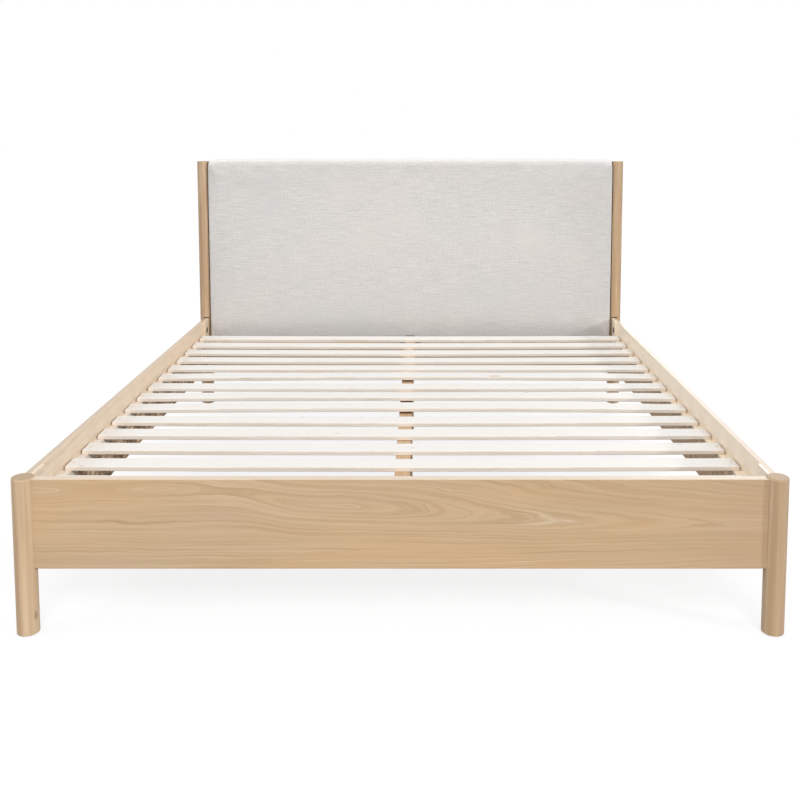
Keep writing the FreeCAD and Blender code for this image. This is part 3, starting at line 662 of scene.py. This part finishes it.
# %% Make the wood screws
screw = Recipe("wood_screws", {
    "Head Diameter": 0.008, "Head Height": 0.0022, "Shank Diameter": 0.004, "Length": 0.025,
    "Recess Length": 0.0046, "Recess Width": 0.0010, "Recess Depth": 0.0016, "Sides": 28})
head = screw.node("GeometryNodeMeshCone", {
    "Vertices": screw.size("Sides"), "Radius Top": screw.size("Head Diameter") * 0.5,
    "Radius Bottom": screw.size("Shank Diameter") * 0.5, "Depth": screw.size("Head Height")})
head = screw.moved(head, Translation=screw.vector(z=screw.size("Head Height") * -1))
slots = []
wide, narrow = screw.size("Recess Length"), screw.size("Recess Width")
for flip in (False, True):
    deep = screw.size("Recess Depth") * (2.1 if flip else 2)
    across = screw.vector(narrow if flip else wide, wide if flip else narrow, deep)
    slots.append(screw.node("GeometryNodeMeshCube", {"Size": across}))
head = screw.node("GeometryNodeMeshBoolean", {"Mesh 1": head, "Mesh 2": slots}, {"operation": "DIFFERENCE"})
shank = screw.node("GeometryNodeMeshCylinder", {
    "Vertices": 12, "Radius": screw.size("Shank Diameter") * 0.5,
    "Depth": screw.size("Length") - screw.size("Head Height")})
half_way = (screw.size("Length") + screw.size("Head Height")) * -0.5
shank = screw.moved(shank, Translation=screw.vector(z=half_way))
whole = screw.node("GeometryNodeJoinGeometry", {"Geometry": [head, shank]})
screw.close(screw.copies(whole))

# %% Drive the wood screws
def aimed(aim, spin):
    """The angles of a screw that is spun about its own axis and then aimed."""
    return (Euler(aim).to_matrix() @ Matrix.Rotation(spin, 3, "Z")).to_euler()


SLAT_COUNT = 14
SINK = 0.0003
SLAT_THICK, SLAT_SCREW_INSET = 0.013, 0.012
quarter = math.pi / 2
slats = [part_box("slat_%02d" % (index + 1)) for index in range(SLAT_COUNT)]
ledge_low, ledge_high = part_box("slat_ledge_right")
slat_screw_z = ledge_high.z + SLAT_THICK - SINK
slat_places = [
    ((side * (high.x - SLAT_SCREW_INSET), (low.y + high.y) / 2, slat_screw_z), (0, 0, 0.7 * index + side))
    for side in (-1, 1) for index, (low, high) in enumerate(slats)]
fit(screw.make("slat_screw_set", slat_places, yellow_zinc), "bed", "zinc_steel", "slat_screws")

gaps = [(slats[index][1].y + slats[index + 1][0].y) / 2 for index in range(0, SLAT_COUNT - 1, 2)]
ledge_middle = (ledge_low.z + ledge_high.z) / 2
ledge_places = [
    ((side * (ledge_low.x + SINK), y, ledge_middle), aimed((0, -side * quarter, 0), 0.9 * index))
    for side in (-1, 1) for index, y in enumerate(gaps)]
fit(screw.make("ledge_screw_set", ledge_places, yellow_zinc, Length=0.033), "bed", "zinc_steel",
    "ledge_screws")

# %% Drive the stirrup screws
STIRRUP_STEEL, STIRRUP_CHEEK, STIRRUP_SCREW_INSET = 0.0025, 0.050, 0.0125
stirrup_places = []
for name, facing in (("beam_stirrup_foot", 1), ("beam_stirrup_head", -1)):
    low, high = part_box(name)
    face = low.y if facing > 0 else high.y
    for side in (-1, 1):
        for share in (0.3, 0.75):
            place = (side * (high.x - STIRRUP_SCREW_INSET),
                     face + facing * (STIRRUP_STEEL - SINK / 2), low.z + share * STIRRUP_CHEEK)
            stirrup_places.append((place, aimed((-facing * quarter, 0, 0), share * 2)))
fit(screw.make("stirrup_screw_set", stirrup_places, yellow_zinc, Length=0.016), "bed", "zinc_steel",
    "stirrup_screws")

# %% [markdown]
# A machine thread is a ridge that climbs round a rod. The distance of each point from the axis
# follows a zigzag of its height plus its angle, so a plain cylinder with enough rings becomes a
# thread. This costs less than sweeping a profile along a helix, and the ends stay closed.

# %% Make the threaded rods
rod = Recipe("threaded_rods", {
    "Diameter": 0.008, "Length": 0.05, "Pitch": 0.00125, "Thread Depth": 0.16, "Rings Each Turn": 4.0,
    "Chamfer": 0.001, "Sides": 20})
bar = rod.node("GeometryNodeMeshCylinder", {
    "Vertices": rod.size("Sides"), "Radius": rod.size("Diameter") * 0.5, "Depth": rod.size("Length"),
    "Side Segments": rod.size("Length") / rod.size("Pitch") * rod.size("Rings Each Turn")})
x, y, z = rod.parts(rod.node("GeometryNodeInputPosition"))
climb = z / rod.size("Pitch") + y.maths("ARCTAN2", x) / math.tau
zigzag = abs((climb - climb.floor()) * 2 - 1)
to_end = (rod.size("Length") * 0.5 - abs(z)) / rod.size("Chamfer")
slim = (1 - rod.size("Thread Depth") * zigzag) * (to_end.least(1) * 0.16 + 0.84)
thread = {"Geometry": bar, "Position": rod.vector(x * slim, y * slim, z)}
bar = rod.node("GeometryNodeSetPosition", thread)
rod.close(rod.copies(bar))

# %% Fit the joint bolts and the leveller stems
BOLT_GRIP, BOLT_REACH, BOLT_INSET = 0.035, 0.0378, 0.009
RAIL_LOW, RAIL_TALL = 0.180, 0.241
bolt_middle = (BOLT_REACH - BOLT_GRIP) / 2
bolt_places = []
for name, facing in (("front_leg", 1), ("headboard_post", -1)):
    for side_name, side in (("left", -1), ("right", 1)):
        low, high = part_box(name + "_" + side_name)
        middle_y = (high.y if facing > 0 else low.y) + facing * bolt_middle
        inner = min(abs(corner.x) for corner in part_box("rail_block_foot_" + side_name))
        for share in (0.25, 0.79):
            place = (side * (inner + BOLT_INSET), middle_y, RAIL_LOW + share * RAIL_TALL)
            bolt_places.append((place, (quarter, 0, 0)))
fit(rod.make("joint_bolt_set", bolt_places, black_coat, Length=BOLT_GRIP + BOLT_REACH), "bed",
    "black_steel", "joint_bolts")
for end in ("foot", "middle", "head"):
    low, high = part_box("leveller_stem_" + end)
    place = [(((low.x + high.x) / 2, (low.y + high.y) / 2, (low.z + high.z) / 2), (0, 0, 0))]
    fit(rod.make("leveller_thread_" + end, place, bright_zinc, Length=high.z - low.z, Rings_Each_Turn=6.0),
        "leveller_" + end, "zinc_steel", "leveller_stem_" + end)

# %% [markdown]
# ## Cloth
# The pad is covered in a linen-like cloth: a plain weave of thick and thin threads, oatmeal with
# cooler and pinker patches. Threads pass over and under each other, so the relief is a chequer of
# small rounded ridges. It has to follow the cloth round the rolled edges, so it is laid out on a UV
# map in metres of cloth. Only the darkening goes by the object's own axes: painted shade low down,
# and a little darker to the right and towards the top. Faces that look up get a painted highlight.

# %% Finish the pad cloth
THREAD = 0.0013


def linen(name, tones, pitch):
    """A plain weave with slubs. tones are shade, light, pink patch and grey patch."""
    cloth = Finish(name)
    u, v = cloth.parts(cloth.node("ShaderNodeUVMap", settings={"uv_map": "cloth"}))[:2]
    warp, weft = u / pitch, v / pitch
    over = ((warp.floor() + weft.floor()) * 0.5).fraction() * 2
    ridge_warp = (warp.fraction() * math.pi).maths("SINE")
    ridge_weft = (weft.fraction() * math.pi).maths("SINE")
    weave = over * ridge_warp + (1 - over) * ridge_weft
    slub = cloth.noise(cloth.vector(u * 11, v * 420, 0), 3, 0.6)
    upright = cloth.noise(cloth.vector(u * 420, v * 14, 4), 2, 0.6)
    cloud = cloth.noise(cloth.vector(u * 2.2, v * 3.4, 8), 3, 0.55)
    streak = cloth.noise(cloth.vector(u * 11, v * 140, 12), 3, 0.6)
    fleck = cloth.noise(cloth.vector(u * 105, v * 125, 21), 1)
    shade, light, pink, grey = (paint(*tone) for tone in tones)
    threads = slub * 0.44 + upright * 0.1 + streak * 0.22 + fleck * 0.34
    colour = cloth.mix(threads.between(0.4, 0.72), shade, light)
    colour = cloth.mix(cloud.between(0.5, 0.72) * 0.5, colour, pink)
    colour = cloth.mix(cloud.between(0.5, 0.3) * 0.5, colour, grey)
    colour = cloth.mix(fleck.between(0.62, 0.74) * 0.4, colour, paint(170, 163, 157))
    colour = cloth.mix((1 - weave) * 0.16, colour, paint(150, 142, 134))
    # Painted shade darkens the cloth low down; it is also a little darker to the right and towards the top.
    low_shade_and_darkening = (cloth.z.between(0.95, 0.25) * 0.27).most(cloth.x.between(0.55, 0.95) * 0.12)
    low_shade_and_darkening = low_shade_and_darkening.most(cloth.z.between(1.0, 1.14) * 0.09)
    colour = cloth.mix(low_shade_and_darkening, colour, paint(158, 152, 144))
    # Painted highlight on faces that look up, on the top roll.
    colour = cloth.mix(facing_up(cloth) * 0.4, colour, paint(247, 245, 242))
    relief = weave + slub * 0.8 + upright * 0.4
    return cloth.surface(Base_Color=colour, Roughness=weave * -0.06 + 0.95,
                         Normal=cloth.bump(relief, 0.00035, 0.55), Sheen_Weight=0.25, Sheen_Roughness=0.6)


pad_linen = linen("pad_linen", ((202, 199, 196), (233, 230, 228), (228, 219, 214), (211, 211, 209)), THREAD)

# %% [markdown]
# ## The headboard pad
# The pad is foam over a wooden frame, pulled tight by its cloth. The top edge is a wide soft roll,
# the sides and the bottom have small ones, and the top line drops a little at each end. A loft of
# outlines gives that form with edges that follow it, which a remeshed block would lose. A short
# cloth simulation then blows the cover up against its own seams, held at the back where it is
# stapled, so that the face swells like real foam. The loft starts smaller than the solid to leave
# room for that.

# %% Loft the pad
low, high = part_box("headboard_pad")
HALF, FRONT, BACK, BOTTOM, TOP = high.x, low.y, high.y, low.z, high.z
TOP_ROLL, LOW_ROLL, SIDE_ROLL, BACK_ROLL, BACK_IN = 0.038, 0.012, 0.015, 0.012, 0.004
FACE_CROWN, END_FALL, CORNER_DROP, CORNER_RISE, SWELL = 0.005, 0.009, 0.018, 0.006, 0.003
SEAM_INSET, FLAT_START, ACROSS, UPWARDS = 0.016, 0.034, 56, 44


def arc(y, z, roll, start, count):
    """Points of a quarter turn about y, z. The start is in quarter turns from the back."""
    angles = [math.pi / 2 * (start + step / count) for step in range(count)]
    return [(y + roll * math.cos(angle), z + roll * math.sin(angle)) for angle in angles]


def run(first, last, count):
    """Even points from the first to the last, without the last."""
    return [tuple(a + (b - a) * step / count for a, b in zip(first, last)) for step in range(count)]


def pad_outline(x):
    """The pad's section at one place across the bed, from the middle of its top, front first."""
    share = abs(x) / HALF
    side = max(0.0, 1 - (HALF - abs(x)) / SIDE_ROLL)
    rounding = 1 - math.sqrt(1 - side * side)
    face = FRONT + SWELL + FACE_CROWN * (1 + share * share) + SIDE_ROLL * rounding
    back = BACK - BACK_IN * rounding
    scale = (back - face) / (BACK - FRONT)
    top = TOP - SWELL * 0.6 - END_FALL * share ** 12 - CORNER_DROP * rounding
    foot = BOTTOM + CORNER_RISE * rounding
    top_roll, low_roll, back_roll = TOP_ROLL * scale, LOW_ROLL * scale, BACK_ROLL * scale
    middle = ((face + top_roll + back - back_roll) / 2, top)
    foot_middle = ((face + low_roll + back - back_roll) / 2, foot)
    outline = run(middle, (face + top_roll, top), 2)
    outline += arc(face + top_roll, top - top_roll, top_roll, 1, 8)
    outline += run((face, top - top_roll), (face, foot + low_roll), UPWARDS)
    outline += arc(face + low_roll, foot + low_roll, low_roll, 2, 5)
    outline += run((face + low_roll, foot), foot_middle, 2)
    outline += run(foot_middle, (back - back_roll, foot), 2)
    outline += arc(back - back_roll, foot + back_roll, back_roll, 3, 5)
    outline += run((back, foot + back_roll), (back, top - back_roll), UPWARDS)
    outline += arc(back - back_roll, top - back_roll, back_roll, 0, 8)
    return outline + run((back - back_roll, top), middle, 2)


steps = [HALF - SIDE_ROLL * (1 - math.cos(math.pi / 2 * step / 6)) for step in range(7)]
steps += [HALF - SEAM_INSET - offset for offset in (0.0, 0.0025, 0.006)]
steps += list(np.linspace(HALF - FLAT_START, 0, ACROSS))
stations = steps + [-x for x in reversed(steps[:-1])]
loops = np.array([[(x, y, z) for y, z in pad_outline(x)] for x in stations])
rows, ring_size = loops.shape[:2]
print("pad outlines:", rows, "of", ring_size, "points")


# %% Skin the pad
def lap(row, index):
    return row * ring_size + index % ring_size


faces, cloth_spots = [], []
girth = np.linalg.norm(np.diff(loops[rows // 2], axis=0, append=loops[rows // 2][:1]), axis=1)
girth = np.concatenate([[0], np.cumsum(girth)])
reach = np.linalg.norm(np.diff(loops[:, ring_size // 4], axis=0), axis=1)
reach = np.concatenate([[0], np.cumsum(reach)])
for row in range(rows - 1):
    for index in range(ring_size):
        faces.append((lap(row, index), lap(row + 1, index), lap(row + 1, index + 1), lap(row, index + 1)))
        cloth_spots += [(reach[row], girth[index]), (reach[row + 1], girth[index]),
                        (reach[row + 1], girth[index + 1]), (reach[row], girth[index + 1])]
for row, along in ((0, 1), (rows - 1, -1)):
    for index in range(ring_size // 2):
        corners = [lap(row, index), lap(row, index + 1), lap(row, -index - 1), lap(row, -index)][::along]
        corners = tuple(dict.fromkeys(corners))
        faces.append(corners)
        cloth_spots += [(loops[row, corner % ring_size, 1], loops[row, corner % ring_size, 2])
                        for corner in corners]
cover = mesh("headboard_cushion", loops.reshape(-1, 3).tolist(), faces, smooth=True)
layer = cover.uv_layers.new(name="cloth")
layer.data.foreach_set("uv", np.array(cloth_spots, dtype=np.float32).ravel())
pad = placed("headboard_cushion", cover)
print("cover of", len(faces), "faces, %.2f m round and %.2f m across" % (girth[-1], reach[-1]))

# %% Blow up the cover
CAP, HELD_STRIP, FRONT_ZONE, FRAMES = 0.0045, 0.010, 0.03, 20
start = loops.reshape(-1, 3)
held = pad.vertex_groups.new(name="held")
held.add([int(i) for i in np.flatnonzero(start[:, 1] > BACK - HELD_STRIP)], 1.0, "REPLACE")
swell = pad.modifiers.new("swell", "CLOTH")
for key, value in {
        "quality": 6, "mass": 0.4, "tension_stiffness": 25, "compression_stiffness": 25,
        "bending_stiffness": 2.0, "use_pressure": True, "uniform_pressure_force": 1.2,
        "vertex_group_mass": "held"}.items():
    setattr(swell.settings, key, value)
swell.settings.effector_weights.gravity = 0
swell.point_cache.frame_start, swell.point_cache.frame_end = 1, FRAMES
for frame_number in range(1, FRAMES + 1):
    scene.frame_set(frame_number)
blown = pad.evaluated_get(bpy.context.evaluated_depsgraph_get()).data
moved = np.empty(len(start) * 3, dtype=np.float32)
blown.vertices.foreach_get("co", moved)
pad.modifiers.remove(swell)
scene.frame_set(1)
push = moved.reshape(-1, 3) - start
far = np.linalg.norm(push, axis=1, keepdims=True)
push *= np.tanh(far / CAP) * CAP / np.maximum(far, 1e-9)
print("cover pushed out by up to %.1f mm" % (np.linalg.norm(push, axis=1).max() * 1000))

# %% [markdown]
# Foam and cloth are never quite even. A soft unevenness of under a millimetre, and the dent of the
# seam that joins the front to each side, are pressed in last, so the swelling can't smooth them out.

# %% Press in the seams
SEAM_WIDE, SEAM_DEEP, UNEVEN = 0.0016, 0.0012, 0.0009
form = start + push
front_share = np.clip((FRONT + FRONT_ZONE * 1.5 - form[:, 1]) / FRONT_ZONE, 0, 1)
uneven = np.array([field.fractal(Vector((x * 6, 0, z * 7)), 1.0, 2.0, 3) for x, y, z in form])
from_seam = np.abs(np.abs(start[:, 0]) - (HALF - SEAM_INSET))
seam = np.exp(-(from_seam / SEAM_WIDE) ** 2)
form[:, 1] += (uneven * UNEVEN + seam * SEAM_DEEP) * front_share
form[:, 2] -= seam * SEAM_DEEP * (form[:, 2] > TOP - FRONT_ZONE) * (1 - front_share)
cover.vertices.foreach_set("co", form.astype(np.float32).ravel())
cover.update()
cover.materials.append(pad_linen)
round_off = pad.modifiers.new("round_off", "SUBSURF")
round_off.levels = round_off.render_levels = 1
fit(pad, "bed", "pad_cloth", "headboard_pad")
print("pad from", form.min(axis=0).round(4), "to", form.max(axis=0).round(4))

# %% [markdown]
# ## The back of the headboard
# The cover's edges are stapled to the frame, and a thin dust cloth of bonded fibre hides them. It
# is one flat sheet with its edge folded under, pulled tight between staples, so it lies in shallow
# scallops along its edge and sags a little in the middle. A grid with a height formula holds all
# of that. The embossed dots of bonded fibre are too small for the mesh and go into the finish.

# %% Finish the dust cloth
DOT_PITCH = 0.0021
dust = Finish("dust_cloth")
dot_x, dot_z = ((way / DOT_PITCH).fraction() - 0.5 for way in (dust.x, dust.z))
dots = (dot_x * dot_x + dot_z * dot_z).between(0.05, 0.14)
web = dust.noise(dust.vector(dust.x * 260, 0, dust.z * 420), 3, 0.65)
blot = dust.noise(dust.vector(dust.x * 3, 0, dust.z * 4), 3)
dust_colour = (web * 0.7 + blot * 0.3).between(0.3, 0.7)
dust_colour = dust.mix(dust_colour, paint(138, 135, 131), paint(164, 161, 156))
dust_colour = dust.mix((1 - dots) * 0.35, dust_colour, paint(116, 113, 110))
dust_cloth = dust.surface(Base_Color=dust_colour, Roughness=web * 0.1 + 0.85,
                          Normal=dust.bump(dots + web * 0.6, 0.0002, 0.5))

# %% Stretch the dust cloth
low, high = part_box("headboard_back_cloth")
STAPLE_INSET, STAPLE_SPACING, STAPLE_RISE = 0.010, 0.062, 0.0013
HEM, HEM_FOLD, CLOTH_THICK = 0.018, 0.002, 0.0005
wide, tall = high.x - low.x, high.z - low.z


def scallop(span):
    """The length of one wave, so that whole waves fit between the corner staples."""
    length = span - 2 * STAPLE_INSET
    return length / round(length / STAPLE_SPACING)


def cloth_height(x, z):
    """How far the dust cloth stands off the frame at a place on the sheet."""
    edge_x, edge_z = min(x, wide - x), min(z, tall - z)
    edge = min(edge_x, edge_z)
    along, span = (x, wide) if edge_z < edge_x else (z, tall)
    wave = 0.5 - 0.5 * math.cos(2 * math.pi * (along - STAPLE_INSET) / scallop(span))
    hem = min(1, max(0, (HEM - edge) / HEM_FOLD))
    belly = math.sin(math.pi * x / wide) * math.sin(math.pi * z / tall)
    stand = 0.0003 + 0.0007 * hem + 0.0011 * wave * math.exp(-((edge - STAPLE_INSET) / 0.02) ** 2)
    return stand - 0.0012 * belly * (1 - hem) + 0.0004 * field.noise(Vector((x * 9, z * 9, 3)))


columns, levels = (
    sorted({*np.linspace(0, span, count), HEM, HEM - HEM_FOLD, span - HEM, span - HEM + HEM_FOLD})
    for span, count in ((wide, 190), (tall, 82)))
spots = [(low.x + x, high.y + cloth_height(x, z), low.z + z) for z in levels for x in columns]
across = len(columns)
quads = [(r * across + c, (r + 1) * across + c, (r + 1) * across + c + 1, r * across + c + 1)
         for r in range(len(levels) - 1) for c in range(across - 1)]
sheet = mesh("dust_cover", spots, quads, smooth=True)
sheet.materials.append(dust_cloth)
dust_cover = placed("dust_cover", sheet)
thick = dust_cover.modifiers.new("thick", "SOLIDIFY")
thick.thickness, thick.offset = CLOTH_THICK, -1
fit(dust_cover, "bed", "back_cloth", "headboard_back_cloth")
print("dust cloth of", len(quads), "faces, cut %.3f by %.3f m" % (wide + 2 * HEM, tall + 2 * HEM))

# %% [markdown]
# The staples follow the edge of the dust cloth. A rectangle curve is resampled to even steps, and a
# bent wire is copied to each step and turned along the curve. Only the crown of the wire shows; its
# legs go into the wood.

# %% Make the staples
staple = Recipe("staples", {
    "Width": 1.0, "Height": 1.0, "Spacing": STAPLE_SPACING, "Crown": 0.0115, "Wire": 0.0011,
    "Bend": 0.0012, "Corner": 0.012})


def rounded(width, height, radius, count):
    """A rectangle with rounded corners, as a curve."""
    curve = staple.node("GeometryNodeCurvePrimitiveQuadrilateral", {"Width": width, "Height": height})
    sockets = {"Curve": curve, "Count": count, "Radius": radius}
    return staple.node("GeometryNodeFilletCurve", sockets, {"mode": "POLY"})


path = rounded(staple.size("Width"), staple.size("Height"), staple.size("Corner"), 4)
path = staple.moved(path, Rotation=(quarter, 0, 0))
path = staple.node("GeometryNodeResampleCurve", {
    "Curve": path, "Length": staple.size("Spacing")}, {"mode": "LENGTH"})
along = staple.node("GeometryNodeInputTangent")
turn = staple.node("FunctionNodeAlignRotationToVector", {"Vector": along}, {"axis": "X", "pivot_axis": "Y"})
loop = rounded(staple.size("Crown"), staple.size("Crown") * 0.5, staple.size("Bend"), 3)
section = staple.node("GeometryNodeCurvePrimitiveCircle", {
    "Resolution": 8, "Radius": staple.size("Wire") * 0.5})
wire = staple.node("GeometryNodeCurveToMesh", {"Curve": loop, "Profile Curve": section})
wire = staple.moved(wire, Translation=staple.vector(y=staple.size("Crown") * -0.25))
wires = staple.node("GeometryNodeInstanceOnPoints", {
    "Points": path, "Instance": wire, "Rotation": turn})
wires = staple.node("GeometryNodeRealizeInstances", {"Geometry": wires})
staple.close(staple.copies(wires))
middle = ((low.x + high.x) / 2, high.y + STAPLE_RISE, (low.z + high.z) / 2)
fit(staple.make("staple_set", [(middle, (0, 0, 0))], bright_zinc, Width=wide - 2 * STAPLE_INSET,
                Height=tall - 2 * STAPLE_INSET), "bed", "zinc_steel")
